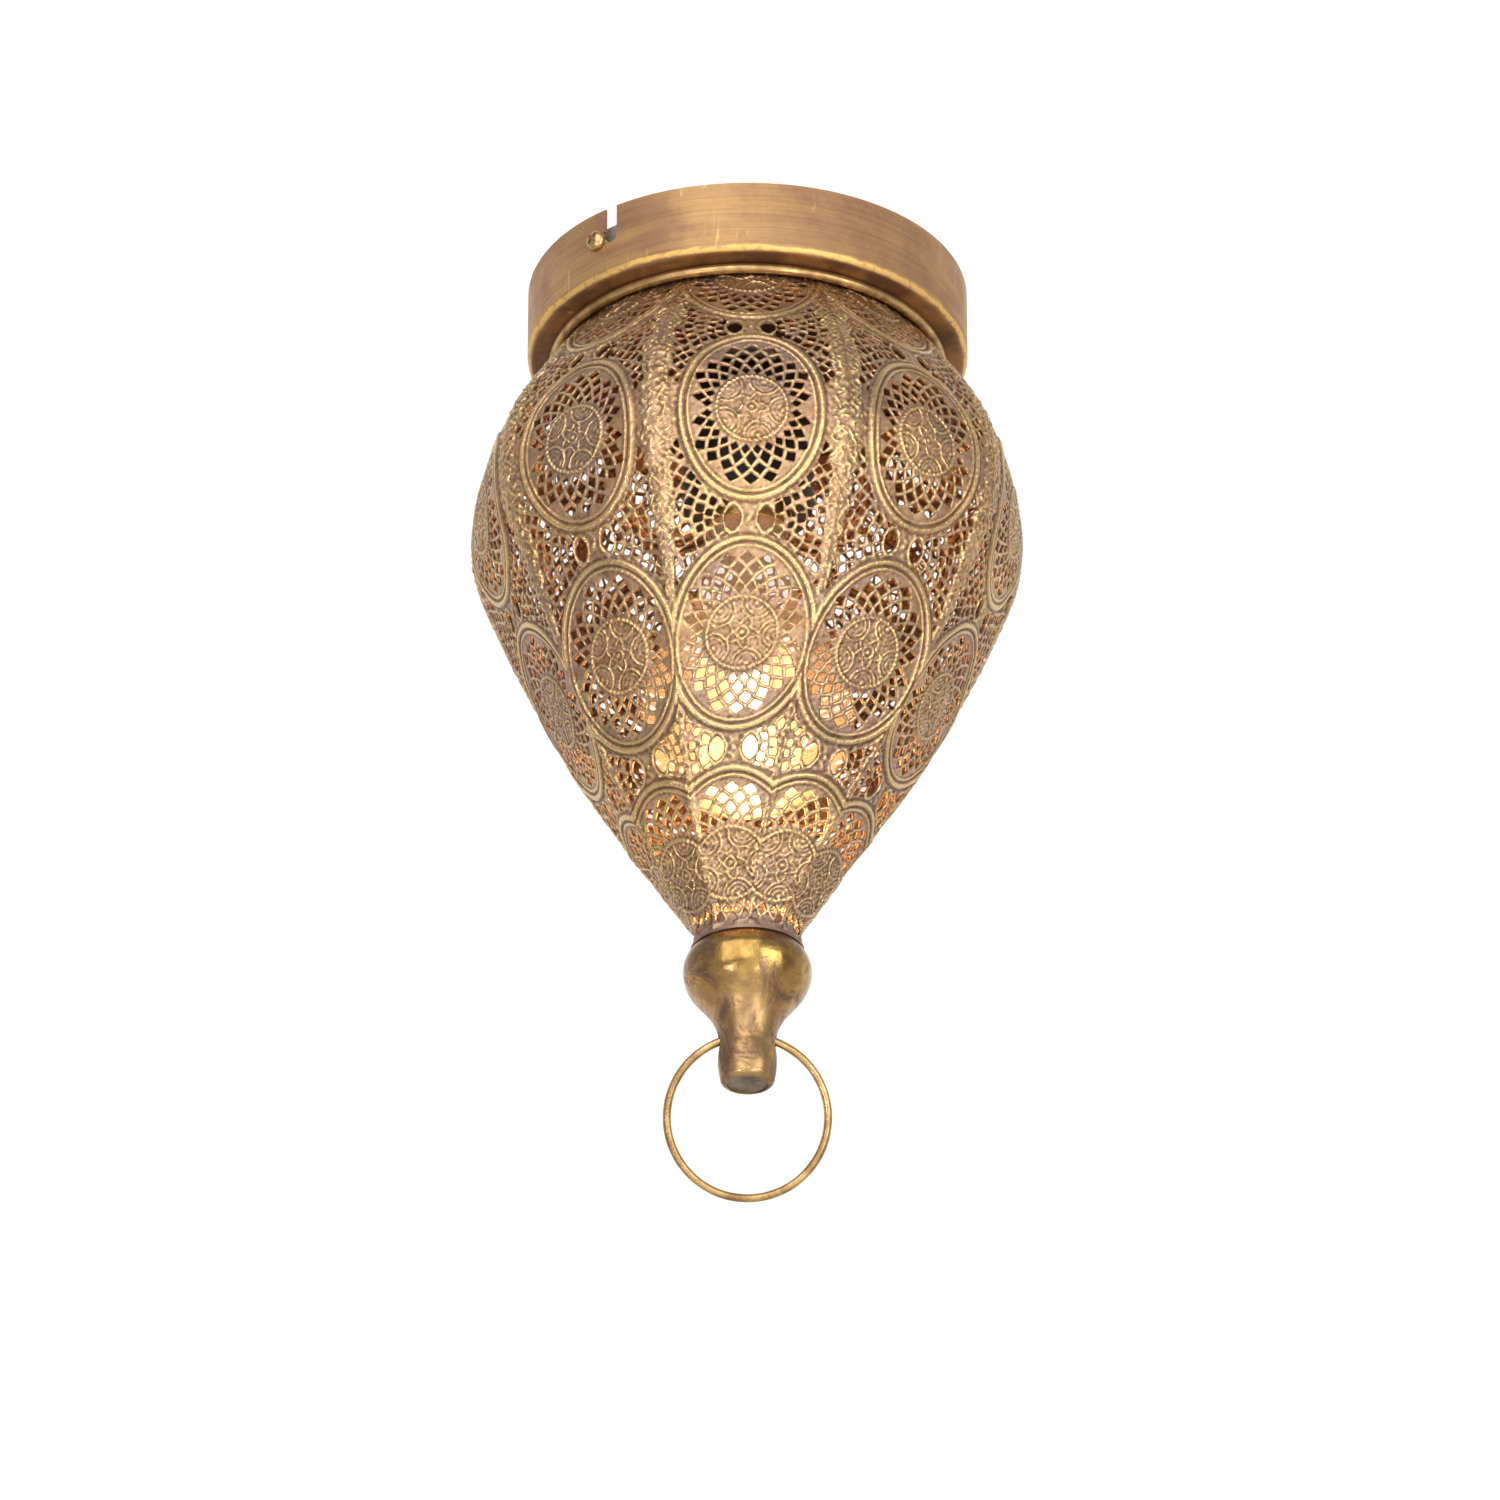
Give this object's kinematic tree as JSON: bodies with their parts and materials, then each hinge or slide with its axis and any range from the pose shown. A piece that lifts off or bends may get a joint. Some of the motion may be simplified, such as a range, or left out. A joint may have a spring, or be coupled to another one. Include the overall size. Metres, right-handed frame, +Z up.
{
  "type": "ceiling lantern",
  "caption": "Pear-shaped pierced brass ceiling lantern on a round bayonet canopy, with onion finial, wire ring, lamp holder and bulb.",
  "frame": {"origin": "middle of the two ceiling slots, on the ceiling face of the bracket", "axes": "+Z up into the ceiling along the lamp's axis; +X along the slotted ceiling bar; the front gore faces -Y"},
  "size_m": [0.1752, 0.1752, 0.3093],
  "materials": {
    "shade_brass": "antique pierced and embossed",
    "canopy_brass": "brushed antique",
    "finial_brass": "antique, half polished",
    "bright_brass": "polished, lightly worn",
    "dull_metal": "dull grey-brown",
    "contact_brass": "bright",
    "zinc_steel": "zinc plated",
    "solder": "satin",
    "tungsten": "fine wire",
    "black_phenolic": "moulded",
    "shield_fibre": "pressed fibre",
    "white_plastic": "moulded",
    "lead_brown": "insulation",
    "lead_blue": "insulation",
    "lead_green": "insulation",
    "bulb_glass": "clear"
  },
  "bodies": {
    "ceiling_fixture": {"ceiling_bar": "zinc_steel", "canopy_bar": "zinc_steel", "heat_shield": "shield_fibre", "ear_nuts": "zinc_steel", "nipple": "zinc_steel", "nipple_nuts": "zinc_steel", "nipple_washer": "zinc_steel", "earth_lug": "zinc_steel", "earth_screw": "zinc_steel", "terminal_block": "white_plastic", "terminal_sleeves": "contact_brass", "terminal_screws": "zinc_steel", "block_screw": "zinc_steel", "lead_live": "lead_brown", "lead_neutral": "lead_blue", "lead_earth": "lead_green", "holder_cap": "black_phenolic", "holder_body": "black_phenolic", "holder_shell": "contact_brass", "holder_contact": "contact_brass", "holder_terminals": "contact_brass"},
    "bulb": {"bulb_contact": "solder", "bulb_insulator": "black_phenolic", "bulb_cap": "contact_brass", "bulb_glass": "bulb_glass", "bulb_stem": "bulb_glass", "bulb_supports": "solder", "bulb_filament": "tungsten"},
    "canopy_assembly": {"canopy_cup": "canopy_brass", "top_collar": "canopy_brass", "collar_rivets": "bright_brass", "shade_bead": "bright_brass", "shade_panel_1": "shade_brass", "shade_panel_2": "shade_brass", "shade_panel_3": "shade_brass", "shade_panel_4": "shade_brass", "shade_panel_5": "shade_brass", "shade_panel_6": "shade_brass", "shade_panel_7": "shade_brass", "shade_panel_8": "shade_brass", "shade_panel_9": "shade_brass", "bottom_collar": "shade_brass", "finial_washer": "zinc_steel", "finial_bolt": "zinc_steel", "finial_disc": "finial_brass", "finial_onion": "finial_brass", "finial_end_disc": "dull_metal"},
    "ring": {"pull_ring": "bright_brass"},
    "front_screw": {"side_screw_1": "bright_brass"},
    "back_screw": {"side_screw_2": "bright_brass"}
  },
  "joints": [
    {"name": "bayonet_twist", "type": "hinge", "parent": "ceiling_fixture", "child": "canopy_assembly", "pos_m": [0, 0, 0], "axis": [0, 0, -1], "range_deg": [0, 4.5]},
    {"name": "ring_swing", "type": "hinge", "parent": "canopy_assembly", "child": "ring", "pos_m": [0, 0, -0.2652], "axis": [1, 0, 0], "range_deg": [-156, 104]},
    {"name": "bulb_turn", "type": "hinge", "parent": "ceiling_fixture", "child": "bulb", "pos_m": [0, 0, -0.08], "axis": [0, 0, -1], "range_deg": [0, 1440]},
    {"name": "front_screw_loosen", "type": "slide", "parent": "ceiling_fixture", "child": "front_screw", "axis": [-0.6717, -0.7408, 0], "range_m": [0, 0.003]},
    {"name": "back_screw_loosen", "type": "slide", "parent": "ceiling_fixture", "child": "back_screw", "axis": [0.6717, 0.7408, 0], "range_m": [0, 0.003]}
  ]
}
